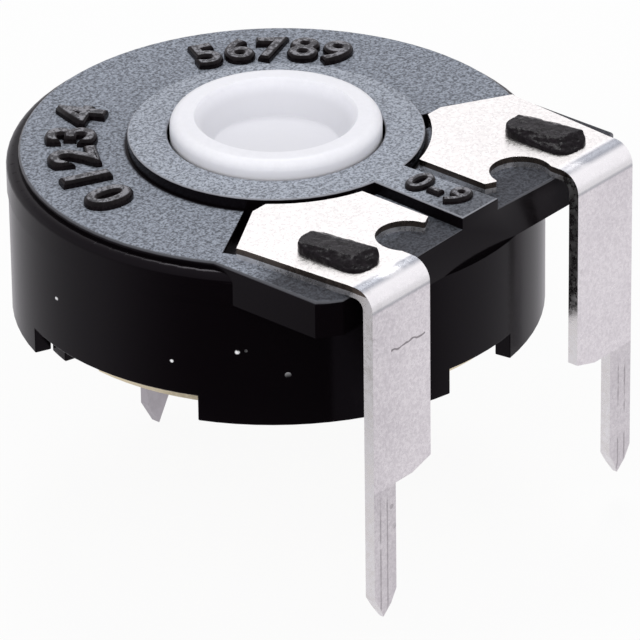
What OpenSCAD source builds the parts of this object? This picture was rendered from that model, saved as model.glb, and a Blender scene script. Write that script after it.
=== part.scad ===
/*
  Trimmer potentiometer of the 15 mm size, horizontal board mounting, turned from above.
  z = 0 is the face of the board: the shoulders of the two end terminals rest on it.
  The rotor turns about the z axis. The end terminals are on the -y side.
*/

/* [Housing] */
// Diameter over the round flange band
body_d = 14.8; // [14.8:0.1:15.6]
// Height of the skirt's feet above the board
feet_z = 1.0; // [0.9:0.05:1.1]
// Height of the raised top disc above the board
disc_z = 5.75; // [5.7:0.05:5.9]
// Height of the boss ring and of the rib above the raised disc
boss_rise = 0.37; // [0.25:0.01:0.45]
// Diameter of the boss ring round the rotor
boss_d = 8.16; // [8:0.02:8.3]

/* [Rotor] */
// Diameter of the white hub that shows in the boss ring
hub_d = 5.82; // [5.6:0.02:5.9]
// Height of the hub's rim above the boss ring
hub_rise = 0.48; // [0.3:0.02:0.8]
// Diameter of the dish in the hub, at its mouth
dish_d = 4.5; // [4.2:0.05:4.7]
// Diameter of the flat floor of the dish
dish_floor_d = 3.5; // [3:0.05:3.7]
// Depth of the dish
dish_depth = 0.95; // [0.6:0.05:1.2]

/* [Terminals] */
// Thickness of the end terminals' sheet
sheet = 0.32; // [0.3:0.01:0.34]
// Distance between the centres of the two end pins
pin_pitch = 10.1; // [10:0.05:10.2]
// Distance from the row of end pins to the wiper pin
row_pitch = 12.6; // [12.4:0.05:12.7]
// Width of each pin
pin_w = 0.9; // [0.85:0.05:1]
// Length of the end pins below the board's face
pin_l = 4.0; // [3.5:0.1:4.5]
// Width of each leg above the board
leg_w = 2.36; // [2.3:0.01:2.4]

/* [Travel] */
// Mechanical travel of the rotor, stop to stop, in degrees
travel = 265; // [240:1:265]

/* [Hidden] */
$fn = 96;
over = 0.5;                         // how far a cutting tool runs past the face it cuts
weld = 0.2;                         // how far a lug runs into the wall that carries it

// Fits
hub_fit = 0.07;                     // radial running fit of the rotor in its two bearings
axial_fit = 0.05;                   // play of the rotor between its two thrust faces
seat_fit = 0.03;                    // gap round a piece that drops into a seat
plate_fit = 0.42;                   // groove beside a plate's back edge
shoulder_round = 0.25;              // rounding of the flange's outer edge
touch_fit = 0.04;                   // gap under a sprung contact point
stop_play = 1;                      // degrees left between the stops at each end of the travel

// Bearing of the rotor in the housing
hub_r = hub_d / 2;
collar_r = hub_r + 0.45;            // thrust collar under the top wall

// Housing, radii and heights
band_r = body_d / 2;
skirt_r = band_r - 0.04;
disc_r = band_r - 0.33;
ledge_z = disc_z - 0.2;
band_z = ledge_z - 0.9;
boss_r = boss_d / 2;
boss_z = disc_z + boss_rise;
roof_z = disc_z - 0.9;              // underside of the top wall
cavity_r = band_r - 0.8;            // room in which the board, the wiper and the rotor sit
seat_r = band_r - 0.52;             // wider seat of the collector at the bottom
seat_z = feet_z + 0.6;
notch_z = feet_z + 0.75;            // top of the notches in the skirt

// Square front of the flange, which carries the terminals
front_x = band_r - 1.1;
front_y = band_r - 0.2;
front_cut_x = 0.62;
front_cut_y = 0.45;
front_z = band_z;

// Terminals
pin_row_y = -(front_y + 0.69);      // middle plane of the legs
leg_out_x = pin_pitch / 2 + pin_w / 2;
leg_in_x = leg_out_x - leg_w;
bend_in = 0.28;                     // inner radius of the bend
bend_out = bend_in + sheet;
plate_z = disc_z + sheet;           // top face of the plates, which lie on the disc
plate_in_x = 1.2;
plate_chip = 0.3;
rib_end = plate_in_x - 0.46;        // half width of the rib between the two plates, at the front
rib_root = rib_end - 0.13;          // and at the boss
plate_arc_r = boss_r + 0.18;
point_l = 0.75;                     // length of a pin's sheared point
point_t = 0.14;                     // thickness left at the tip of a point
shoulder_rise = 0.22;               // how far a shoulder climbs away from its pin
shoulder_flat = 0.7;                // width of the shoulder that rests on the board
stake_x = leg_out_x - 1.14;
stake_y = -(front_y - 1.23);
plate_inner_y = stake_y - 0.41;     // front corner of the plate beside the rib
plate_back_y = -2.56;               // back corner of the plate, nearest to the rotor's axis
plate_back_x = stake_x - 0.42;
plate_back_w = 0.34;
plate_side_y = plate_back_y - 1.04;
plate_out_x = leg_out_x + 0.3;      // outer back corner of the plate
plate_out_cut = 0.25;
groove_d = 0.37;
cutout_r = 0.86;                    // round cut-out beside the neck of the leg
cutout_x = leg_in_x - 0.74;
cutout_y = stake_y - 0.68;
peg_l = 1.5;
peg_w = 0.8;
slot_gap = 0.04;
head_l = 2.2;
head_w = 1.2;
head_z = 0.3;

// Element board and its printed layers
board_t = 0.8;
board_r = cavity_r - seat_fit;
board_in_r = collar_r + 0.35;
board_z = roof_z - board_t;
ink_t = 0.05;
ink_z = board_z - ink_t;
track_out_r = cavity_r - 0.45;
track_in_r = track_out_r - 1.6;
pad_in_r = track_in_r - 0.25;
pad_out_r = track_out_r + 0.15;
pad_from = 14;                      // degrees from the -y direction to the near end of a pad
pad_to = 52;                        // and to its far end, where the carbon starts

// Clinched tab of each terminal
tab_a = 23;                         // degrees from the -y direction
tab_w = 0.9;
tab_foot = 0.75;
tab_gap = 0.02;

// Rotor below the hub
hub_z = boss_z + hub_rise;
rim_round = 0.3;
wheel_r = cavity_r - 0.7;
wheel_t = 0.6;
wheel_z = 2.75;
wheel_top = wheel_z + wheel_t;
foot_r = 2.3;
collector_t = 0.27;
collector_z = seat_z - collector_t;
collector_top = seat_z;
thrust_r = foot_r + 0.6;
dish_lip = 0.1;
driver_l = 3;
driver_w = 0.8;
driver_d = 0.9;

// Stops, as half angles about the -y direction in the housing and +y in the rotor
lug_half = 14;
stop_half = 180 - travel / 2 - lug_half - stop_play;
lug_r = cavity_r - 0.2;
stop_in_r = wheel_r + 0.12;
stop_low = wheel_z - 0.35;
stop_high = wheel_top + 0.2;

// Wiper spring
spring_t = 0.15;
spring_in_r = collar_r + 0.3;
spring_a = 15;                      // half angle of its plates
window_a = 7;                       // half angle of the window it passes through
window_r = spring_in_r + 0.4;
web_w = 0.7;
web_gap = 0.07;
finger_l = 1.45;
finger_w = 0.5;
dimple_r = 0.16;
finger_rs = [track_in_r + 0.4, track_out_r - 0.45];
spring_out_r = finger_rs[1] + finger_w / 2;
dimple_back = 0.15;

// Collector
collector_r = seat_r - seat_fit;
collector_hole_r = foot_r + hub_fit;
collector_pin_y = pin_row_y + row_pitch;
collector_pin_l = pin_l + 0.7;
collector_bend = 0.25;
recess_r = collector_r - 0.6;                    // the collector's rim is cut back here, beside each key
recess_from = 157;                  // degrees from +x, on the -x side
recess_to = 175.5;
key_to = 163.2;                     // the housing's key fills the recess up to here
dimple_a = 171.5;
dimple_at_r = recess_r + 0.02;
foot_dimple_r = 0.26;
dimple_drop = 0.08;
pin_window = 0.4;                   // metal left between the thrust face and the pin's window
pin_lap = 0.35;                     // how far the pin's bend runs on into the plate

// Notches in the skirt: [middle of the notch, half angle], in degrees from +x
NOTCHES = [[180, 23.6], [0, 23.6], [269.5, 9.9], [90, 12]];

// ---- Shapes that repeat -------------------------------------------------

// Pie slice of radius r between the angles a0 and a1, less than 180 degrees apart
module slice(r, a0, a1) {
  reach = 1.6 * r;
  mid = (a0 + a1) / 2;
  intersection() {
    circle(r);
    polygon([[0, 0], reach * [cos(a0), sin(a0)], reach * [cos(mid), sin(mid)],
             reach * [cos(a1), sin(a1)]]);
  }
}

// Part of a ring between two radii, two angles and two heights
module ring_part(r_in, r_out, a0, a1, z0, z1) {
  translate([0, 0, z0]) linear_extrude(z1 - z0) difference() {
    slice(r_out, a0, a1);
    circle(r_in);
  }
}

// Whole ring between two radii and two heights
module ring(r_in, r_out, z0, z1) {
  difference() {
    translate([0, 0, z0]) cylinder(r = r_out, h = z1 - z0);
    translate([0, 0, z0 - over]) cylinder(r = r_in, h = z1 - z0 + 2 * over);
  }
}

// Flat bar of length l along y with round ends, w wide
module bar(l, w) {
  square([w, l - w], center = true);
  for (s = [-1, 1]) translate([0, s * (l - w) / 2]) circle(w / 2);
}

// Plan of the square front of the flange
module front_plan() {
  polygon([[-front_x, 0], [-front_x, front_cut_y - front_y], [front_cut_x - front_x, -front_y],
           [front_x - front_cut_x, -front_y], [front_x, front_cut_y - front_y], [front_x, 0]]);
}

// ---- Housing ------------------------------------------------------------

// Plan of one terminal's plate on the +x side
module plate_plan() {
  difference() {
    polygon([[plate_in_x, plate_back_y], [plate_back_x - plate_back_w, plate_back_y],
             [plate_back_x, plate_back_y], [plate_out_x, plate_side_y],
             [plate_out_x - 0.04, plate_side_y - plate_out_cut], [leg_out_x + 0.04, stake_y - 0.8],
             [leg_out_x, -front_y],
             [leg_in_x, -front_y], [leg_in_x, cutout_y], [cutout_x, cutout_y + cutout_r],
             [plate_in_x + plate_chip, plate_inner_y - plate_chip / 2], [plate_in_x, plate_inner_y]]);
    circle(plate_arc_r);
  }
}

// Groove in the disc beside the back edge of a plate, which keeps the edge clear of flash
module groove_plan() {
  side_w = plate_out_x - plate_back_x;
  rise = (plate_back_y - plate_side_y) / side_w;
  lap = 0.12;
  difference() {
    polygon([[plate_back_x - plate_back_w, plate_back_y + plate_fit + rise * plate_back_w],
             [plate_out_x - 0.1, plate_side_y + plate_fit + 0.1], [plate_out_x - 0.25, plate_side_y + lap],
             [plate_back_x - lap, plate_back_y - lap], [plate_back_x - plate_back_w - over, plate_back_y - lap],
             [plate_back_x - plate_back_w - over, plate_back_y + plate_fit]]);
    circle(boss_r);
  }
}

module stake_head() {
  translate([stake_x, stake_y, plate_z]) intersection() {
    linear_extrude(head_z) bar(head_l, head_w);
    translate([0, 0, head_z - head_w]) rotate([90, 0, 0])
      linear_extrude(head_l, center = true) circle(head_w);
  }
}

module peg() {
  translate([stake_x, stake_y, disc_z - over]) linear_extrude(plate_z - disc_z + over)
    bar(peg_l, peg_w);
}

module housing_solid() {
  translate([0, 0, feet_z]) cylinder(r = skirt_r, h = band_z - feet_z);
  flange();
  translate([0, 0, ledge_z]) cylinder(r = disc_r, h = disc_z - ledge_z);
  translate([0, 0, front_z]) linear_extrude(disc_z - front_z) front_plan();
  translate([0, 0, disc_z]) cylinder(r = boss_r, h = boss_rise);
  translate([0, 0, disc_z - over]) linear_extrude(over + boss_rise)
    polygon([[-rib_end, -front_y], [rib_end, -front_y], [rib_root, over - boss_r], [-rib_root, over - boss_r]]);
}

// Flange band with its rounded shoulder
module flange() {
  flat_r = band_r - shoulder_round;
  rotate_extrude() intersection() {
    union() {
      translate([0, band_z]) square([flat_r, ledge_z - band_z]);
      translate([0, band_z]) square([band_r, ledge_z - shoulder_round - band_z]);
      translate([flat_r, ledge_z - shoulder_round]) circle(shoulder_round, $fn = 32);
    }
    square([band_r + over, ledge_z + over]);
  }
}

module housing() color([0.09, 0.09, 0.1]) {
  difference() {
    housing_solid();
    translate([0, 0, feet_z - over]) cylinder(r = cavity_r, h = roof_z - feet_z + over);
    translate([0, 0, feet_z - over]) cylinder(r = seat_r, h = seat_z - feet_z + over);
    translate([0, 0, roof_z - over]) cylinder(r = hub_r + hub_fit, h = boss_z - roof_z + 2 * over);
    for (m = [0, 1]) mirror([m, 0, 0]) {
      translate([0, 0, disc_z - groove_d]) linear_extrude(over + groove_d) groove_plan();
      tab_slot(roof_z - over, disc_z + over);
    }
    // flat front over the round skirt
    translate([-front_x, -front_y - 2 * over, front_z]) cube([2 * front_x, 2 * over, boss_z - front_z + over]);
    for (n = NOTCHES)
      ring_part(cavity_r - over, band_r + over, n[0] - n[1], n[0] + n[1], feet_z - over, notch_z);
  }
  for (m = [0, 1]) mirror([m, 0, 0]) {
    peg();
    stake_head();
  }
  for (m = [0, 1]) mirror([m, 0, 0])
    ring_part(recess_r + seat_fit, seat_r, recess_from, key_to, feet_z, notch_z + weld);
  ring_part(stop_in_r, cavity_r + weld, 270 - stop_half, 270 + stop_half, stop_low, stop_high);
}

// Hole for a terminal's tab, on the +x side, between two heights
module tab_slot(z0, z1) {
  rotate([0, 0, tab_a - 90]) translate([plate_arc_r - seat_fit, -tab_w / 2 - slot_gap, z0])
    cube([sheet + 2 * seat_fit, tab_w + 2 * slot_gap, z1 - z0]);
}

// ---- Element ------------------------------------------------------------

module element_board() color([0.45, 0.33, 0.2]) {
  difference() {
    ring(board_in_r, board_r, board_z, roof_z);
    for (m = [0, 1]) mirror([m, 0, 0]) tab_slot(board_z - over, roof_z + over);
  }
}

// The carbon runs round the back of the board, from one end pad to the other
module carbon_track() color([0.12, 0.12, 0.13]) {
  difference() {
    ring(track_in_r, track_out_r, ink_z, board_z);
    for (s = [0, 1])
      ring_part(0, track_out_r + over, -90 - s * pad_to, -90 + (1 - s) * pad_to, ink_z - over, board_z + over);
  }
}

module end_pad() color([0.78, 0.78, 0.76]) {
  difference() {
    ring_part(pad_in_r, pad_out_r, pad_from - 90, pad_to - 90, ink_z, board_z);
    tab_slot(ink_z - over, board_z + over);
  }
}

module end_pad_right() end_pad();
module end_pad_left() mirror([1, 0, 0]) end_pad();

// ---- Terminals ----------------------------------------------------------

// A leg lying in its own plane, from z at its bend down to the sheared point of its pin
module leg_plan(z) {
  pin_x = leg_out_x - pin_w;
  polygon([[leg_in_x, z], [leg_in_x, shoulder_rise], [pin_x - shoulder_flat, 0], [pin_x, 0],
           [pin_x, point_l - pin_l], [pin_x + pin_w / 2, -pin_l], [leg_out_x, point_l - pin_l],
           [leg_out_x, z]]);
}

// A pin seen from its side: it thins towards its point
module thinned(t, top, l) {
  polygon([[-t / 2, top], [-t / 2, point_l / 2 - l], [-point_t / 2, -l - over / 100],
           [point_t / 2, -l - over / 100], [t / 2, point_l / 2 - l], [t / 2, top]]);
}

module terminal_leg() {
  top = plate_z - bend_out;
  intersection() {
    translate([0, pin_row_y + sheet / 2, 0]) rotate([90, 0, 0]) linear_extrude(sheet) leg_plan(top);
    translate([leg_in_x - over, pin_row_y, 0]) rotate([90, 0, 90]) linear_extrude(leg_w + 2 * over)
      thinned(sheet, top, pin_l);
  }
}

module terminal_bend() {
  turn = [leg_in_x, pin_row_y - sheet / 2 + bend_out, plate_z - bend_out];
  translate(turn) rotate([0, 90, 0]) linear_extrude(leg_w) intersection() {
    difference() {
      circle(bend_out);
      circle(bend_in);
    }
    translate([-bend_out - over, -bend_out - over]) square(bend_out + over);
  }
}

module terminal_plate() {
  start_y = pin_row_y - sheet / 2 + bend_out;
  difference() {
    translate([0, 0, disc_z]) linear_extrude(sheet) {
      plate_plan();
      translate([leg_in_x, start_y]) square([leg_w, cutout_y - start_y]);
    }
    translate([stake_x, stake_y, disc_z - over]) linear_extrude(sheet + 2 * over)
      bar(peg_l + 2 * slot_gap, peg_w + 2 * slot_gap);
    translate([cutout_x, cutout_y, disc_z - over]) cylinder(r = cutout_r, h = sheet + 2 * over);
  }
}

// Tab bent down through the board and clinched under the end pad
module terminal_tab() {
  rotate([0, 0, tab_a - 90]) {
    translate([plate_arc_r, -tab_w / 2, ink_z - tab_gap - sheet])
      cube([sheet, tab_w, plate_z - ink_z + tab_gap + sheet]);
    translate([plate_arc_r, -tab_w / 2, ink_z - tab_gap - sheet]) cube([tab_foot + sheet, tab_w, sheet]);
  }
}

module terminal() color([0.86, 0.86, 0.84]) {
  terminal_plate();
  terminal_bend();
  terminal_leg();
  terminal_tab();
}

module terminal_right() terminal();
module terminal_left() mirror([1, 0, 0]) terminal();

// ---- Collector ----------------------------------------------------------

module collector() color([0.83, 0.74, 0.5]) {
  bend_r = collector_bend + collector_t;
  difference() {
    ring(collector_hole_r, collector_r, collector_z, collector_top);
    for (m = [0, 1]) mirror([m, 0, 0])
      ring_part(recess_r, collector_r + over, recess_from - 0.3, recess_to, collector_z - over,
                collector_top + over);
    // window left by the pin, which is cut from the plate and bent down
    translate([-pin_w / 2 - seat_fit, thrust_r + pin_window, collector_z - over])
      cube([pin_w + 2 * seat_fit, collector_pin_y - collector_t / 2 - thrust_r - pin_window + bend_r,
            collector_t + 2 * over]);
  }
  for (m = [0, 1]) mirror([m, 0, 0]) rotate([0, 0, dimple_a])
    translate([dimple_at_r, 0, collector_z - dimple_drop]) sphere(foot_dimple_r, $fn = 48);
  translate([-pin_w / 2, collector_pin_y - collector_t / 2, collector_z + collector_t - bend_r]) {
    translate([0, bend_r, 0]) rotate([0, 90, 0]) linear_extrude(pin_w) intersection() {
      difference() {
        circle(bend_r);
        circle(collector_bend);
      }
      translate([-bend_r - over, -bend_r - over]) square(bend_r + over);
    }
    translate([0, collector_t, 0]) rotate([90, 0, 0]) linear_extrude(collector_t)
      pin_plan_from(collector_top - bend_r);
    translate([0, bend_r, collector_bend]) cube([pin_w, pin_lap, collector_t]);
  }
}

// The wiper pin's flat part, from its bend at height z down to its point
module pin_plan_from(z) {
  drop = z + collector_pin_l;
  polygon([[0, 0], [pin_w, 0], [pin_w, point_l - drop], [pin_w / 2, -drop], [0, point_l - drop]]);
}

// ---- Rotor and wiper ----------------------------------------------------

module rotor() color([0.95, 0.95, 0.97]) {
  foot_z = collector_z;
  difference() {
    union() {
      rotor_turned();
      ring_part(wheel_r - weld, lug_r, 90 - lug_half, 90 + lug_half, wheel_z, wheel_top);
    }
    // window that the wiper spring passes through
    ring_part(spring_in_r, window_r, 90 - window_a, 90 + window_a, wheel_z - over, wheel_top + over);
    // driver slot in the foot
    translate([0, 0, foot_z]) cube([driver_l, driver_w, 2 * driver_d], center = true);
  }
}

// Turned outline of the rotor: foot, thrust shoulder, wheel, collar, hub and dish
module rotor_turned() {
  rim_r = hub_r - rim_round;
  rotate_extrude() difference() {
    union() {
      translate([0, collector_z]) square([foot_r, wheel_z - collector_z]);
      translate([0, collector_top + axial_fit]) square([thrust_r, wheel_z - collector_top - axial_fit]);
      translate([0, wheel_z]) square([wheel_r, wheel_t]);
      translate([0, wheel_z]) square([collar_r, roof_z - axial_fit - wheel_z]);
      translate([0, wheel_z]) square([hub_r, hub_z - rim_round - wheel_z]);
      translate([0, wheel_z]) square([rim_r, hub_z - wheel_z]);
      translate([rim_r, hub_z - rim_round]) circle(rim_round);
    }
    polygon([[0, hub_z - dish_depth], [dish_floor_d / 2, hub_z - dish_depth],
             [dish_d / 2 - dish_lip, hub_z - dish_lip], [dish_d / 2, hub_z], [dish_d / 2, hub_z + over],
             [0, hub_z + over]]);
    translate([-2 * wheel_r, 0]) square([2 * wheel_r, 2 * hub_z]);
  }
}

// One sprung finger that starts at the end of a plate and slopes up to its dimple
module finger(r, from_z, to_z) {
  run = sqrt(finger_l * finger_l - (to_z - from_z) * (to_z - from_z));
  slope = asin((to_z - from_z) / finger_l);
  translate([0, r, from_z]) {
    rotate([0, -slope, 0]) translate([0, -finger_w / 2, 0]) cube([finger_l, finger_w, spring_t]);
    translate([run - dimple_back, 0, to_z - from_z]) sphere(dimple_r);
  }
}

module wiper() color([0.85, 0.83, 0.76]) {
  low_z = wheel_z - seat_fit - spring_t;
  high_z = wheel_top + seat_fit;
  for (z = [high_z, low_z])
    ring_part(spring_in_r + web_gap, spring_out_r, 90 - 2, 90 + spring_a, z, z + spring_t);
  translate([-web_w / 2, spring_in_r + web_gap, low_z])
    cube([web_w, spring_t, high_z + spring_t - low_z]);
  for (r = finger_rs) {
    finger(r, high_z, ink_z - touch_fit - dimple_r);
    translate([0, 0, 2 * low_z + spring_t]) mirror([0, 0, 1])
      finger(r, low_z, 2 * low_z + spring_t - collector_top - touch_fit - dimple_r);
  }
}

// ---- Assembly -----------------------------------------------------------

housing();
element_board();
carbon_track();
end_pad_left();
end_pad_right();
terminal_left();
terminal_right();
collector();
rotor();
wiper();
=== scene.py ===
"""Looks of a round trimmer potentiometer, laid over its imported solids.

Lengths are modelled in millimetres and settled into metres, the unit of the frame, as each
piece is finished. The rotor turns about the z axis, and the end terminals are on the -y side.
"""

import logging
import math
from dataclasses import dataclass
from enum import Enum
from typing import Callable, Iterable

import bmesh
import bpy
from mathutils import Matrix, Vector


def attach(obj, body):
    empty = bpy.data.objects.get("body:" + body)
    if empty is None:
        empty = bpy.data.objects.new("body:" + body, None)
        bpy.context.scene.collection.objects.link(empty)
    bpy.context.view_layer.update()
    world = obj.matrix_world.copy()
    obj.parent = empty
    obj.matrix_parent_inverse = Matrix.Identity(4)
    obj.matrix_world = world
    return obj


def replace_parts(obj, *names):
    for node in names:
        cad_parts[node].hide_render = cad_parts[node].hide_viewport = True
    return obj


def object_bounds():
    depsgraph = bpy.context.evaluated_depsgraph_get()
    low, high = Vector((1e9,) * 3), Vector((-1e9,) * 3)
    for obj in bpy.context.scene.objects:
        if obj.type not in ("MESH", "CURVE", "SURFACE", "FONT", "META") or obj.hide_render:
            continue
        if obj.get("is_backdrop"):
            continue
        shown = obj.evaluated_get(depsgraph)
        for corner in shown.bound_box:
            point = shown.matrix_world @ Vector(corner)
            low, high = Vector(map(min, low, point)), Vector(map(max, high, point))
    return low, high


MM = 0.001
Colour = tuple[float, float, float]
Place = tuple[float, float, float]
log = logging.getLogger("trimmer")

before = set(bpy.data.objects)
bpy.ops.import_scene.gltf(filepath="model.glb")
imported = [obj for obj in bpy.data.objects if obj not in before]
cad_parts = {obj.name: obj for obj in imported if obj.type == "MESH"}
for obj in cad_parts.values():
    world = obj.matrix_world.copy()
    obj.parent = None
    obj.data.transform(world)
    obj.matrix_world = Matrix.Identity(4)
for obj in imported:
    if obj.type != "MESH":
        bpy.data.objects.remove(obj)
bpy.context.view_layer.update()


class Side(Enum):
    """The two sides of the part, by the sign of x."""

    LEFT = -1
    RIGHT = 1

    @property
    def word(self) -> str:
        """The side's name in the names of pieces."""
        return self.name.lower()


# ---- Hand tools ----------------------------------------------------------


def clear_selection() -> None:
    """Leave edit mode and deselect everything."""
    if bpy.context.object and bpy.context.object.mode != "OBJECT":
        bpy.ops.object.mode_set(mode="OBJECT")
    bpy.ops.object.select_all(action="DESELECT")


def take(obj: bpy.types.Object) -> None:
    """Select one object and make it the active one.

    Args:
        obj: The object.
    """
    clear_selection()
    obj.hide_set(False)
    obj.select_set(True)
    bpy.context.view_layer.objects.active = obj


def edit(obj: bpy.types.Object, pick: Callable[[Vector, Vector], bool] | None = None) -> None:
    """Enter edit mode with the wanted faces selected.

    Args:
        obj: The mesh to work on.
        pick: Test of a face's centre and normal, or None to select the whole mesh.
    """
    take(obj)
    bpy.ops.object.mode_set(mode="EDIT")
    bpy.ops.mesh.select_mode(type="FACE")
    bpy.ops.mesh.select_all(action="SELECT" if pick is None else "DESELECT")
    if pick is not None:
        bpy.ops.object.mode_set(mode="OBJECT")
        for face in obj.data.polygons:
            face.select = pick(face.center, face.normal)
        bpy.ops.object.mode_set(mode="EDIT")


def leave() -> None:
    """Go back to object mode."""
    bpy.ops.object.mode_set(mode="OBJECT")


def apply_modifier(obj: bpy.types.Object, kind: str, **values: object) -> None:
    """Add a modifier, give it its values and apply it.

    Args:
        obj: The mesh to finish.
        kind: The modifier's type, such as "BEVEL".
        **values: Its settings.
    """
    take(obj)
    modifier = obj.modifiers.new(kind.title(), kind)
    for name, value in values.items():
        setattr(modifier, name, value)
    bpy.ops.object.modifier_apply(modifier=modifier.name)


def smooth(obj: bpy.types.Object, degrees: float = 32) -> None:
    """Shade smooth across edges flatter than an angle."""
    take(obj)
    bpy.ops.object.shade_smooth_by_angle(angle=math.radians(degrees))


def ease_edges(obj: bpy.types.Object, width: float, segments: int = 2, degrees: float = 40) -> None:
    """Bevel every edge sharper than an angle, and keep the broad faces flat in the shading.

    Args:
        obj: The mesh to ease.
        width: The width of the bevel.
        segments: The number of its steps.
        degrees: The angle above which an edge counts as sharp.
    """
    apply_modifier(obj, "BEVEL", width=width, segments=segments, limit_method="ANGLE",
                   angle_limit=math.radians(degrees), use_clamp_overlap=True, miter_outer="MITER_ARC")
    flatten_shading(obj)


def flatten_shading(obj: bpy.types.Object) -> None:
    """Let the broad faces rule the shading of the narrow ones between them."""
    smooth(obj)
    apply_modifier(obj, "WEIGHTED_NORMAL", mode="FACE_AREA", weight=80, keep_sharp=True)


def weigh_edges(obj: bpy.types.Object, weigh: Callable[[Vector], float], shortest: float = 0.1) -> None:
    """Give each long sharp outer edge a bevel weight.

    Args:
        obj: The mesh.
        weigh: Takes the middle of an edge and gives its weight, from 0 to 1.
        shortest: Edges below this length stay as they are.
    """
    mesh = bmesh.new()
    mesh.from_mesh(obj.data)
    layer = mesh.edges.layers.float.new("bevel_weight_edge")
    for line in mesh.edges:
        if len(line.link_faces) == 2 and line.calc_length() > shortest and line.is_convex \
                and line.calc_face_angle() > math.radians(40):
            line[layer] = weigh((line.verts[0].co + line.verts[1].co) / 2)
    mesh.to_mesh(obj.data)
    mesh.free()


def recalculate(obj: bpy.types.Object) -> None:
    """Merge doubles and turn every face outwards.

    Args:
        obj: The mesh.
    """
    edit(obj)
    bpy.ops.mesh.remove_doubles(threshold=1e-4)
    bpy.ops.mesh.normals_make_consistent(inside=False)
    leave()


def bisect(obj: bpy.types.Object, at: Vector, normal: Vector) -> None:
    """Cut away what lies on the side of a plane that its normal points to, and close the cut.

    Args:
        obj: The mesh to cut.
        at: A point of the plane.
        normal: The plane's direction, of any length.
    """
    edit(obj)
    bpy.ops.mesh.bisect(plane_co=at, plane_no=normal.normalized(), use_fill=True, clear_outer=True)
    leave()


def settle(obj: bpy.types.Object, name: str, body: str) -> bpy.types.Object:
    """Turn a piece made in millimetres into one of the frame's, and hang it on a body.

    Args:
        obj: The finished mesh.
        name: The name it keeps.
        body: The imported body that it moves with.

    Returns:
        The same object, in metres, at the origin.
    """
    take(obj)
    bpy.ops.object.transform_apply(location=True, rotation=True, scale=True)
    obj.scale = (MM, MM, MM)
    bpy.ops.object.transform_apply(location=True, rotation=True, scale=True)
    obj.name = name
    obj.data.name = name
    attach(obj, body)
    log.info("%s: %d faces, rides on %s", name, len(obj.data.polygons), body)
    return obj


def merged_copy(node: str) -> bpy.types.Object:
    """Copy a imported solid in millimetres, with its loose triangles merged into whole faces.

    Args:
        node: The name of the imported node.

    Returns:
        A new object. The node itself is left as it is.
    """
    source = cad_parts[node]
    obj = bpy.data.objects.new(node + "_copy", source.data.copy())
    bpy.context.scene.collection.objects.link(obj)
    obj.data.materials.clear()
    obj.data.transform(Matrix.Scale(1 / MM, 4))
    edit(obj)
    bpy.ops.mesh.customdata_custom_splitnormals_clear()
    bpy.ops.mesh.remove_doubles(threshold=0.002)
    bpy.ops.mesh.dissolve_limited(angle_limit=math.radians(0.6))
    leave()
    return obj


# ---- Shader kit ----------------------------------------------------------


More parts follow.
